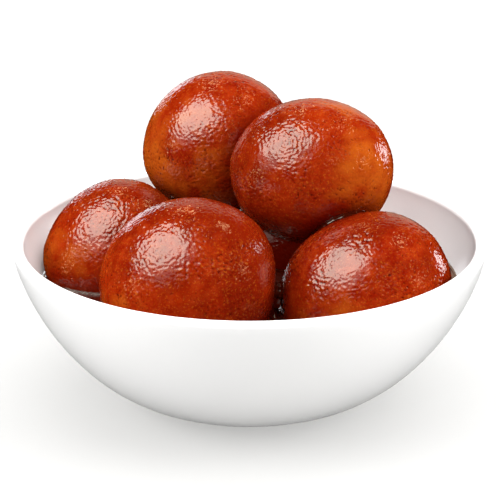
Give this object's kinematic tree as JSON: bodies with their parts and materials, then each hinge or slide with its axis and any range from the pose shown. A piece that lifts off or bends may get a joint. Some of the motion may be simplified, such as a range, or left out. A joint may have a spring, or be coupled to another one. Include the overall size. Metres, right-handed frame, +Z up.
{
  "type": "gulab jamun in a bowl",
  "caption": "Glossy fried milk-dough balls heaped in a round white porcelain bowl with dark sugar syrup, a dessert to stand on a table.",
  "frame": {"origin": "middle of the bowl's underside, on the surface it stands on", "axes": "+Z up out of the bowl, -Y towards the front of the heap, +X to its right"},
  "size_m": [0.1296, 0.1296, 0.0822],
  "materials": {
    "porcelain": "clear glossy glaze",
    "syrup": "wet and glossy",
    "jamun_skin": "fried skin with a wet coat of syrup"
  },
  "bodies": {
    "root": {"bowl": "porcelain", "syrup": "syrup", "jamun_top_left": "jamun_skin", "jamun_top_right": "jamun_skin", "jamun_left": "jamun_skin", "jamun_front": "jamun_skin", "jamun_right": "jamun_skin", "jamun_back": "jamun_skin"}
  },
  "joints": []
}
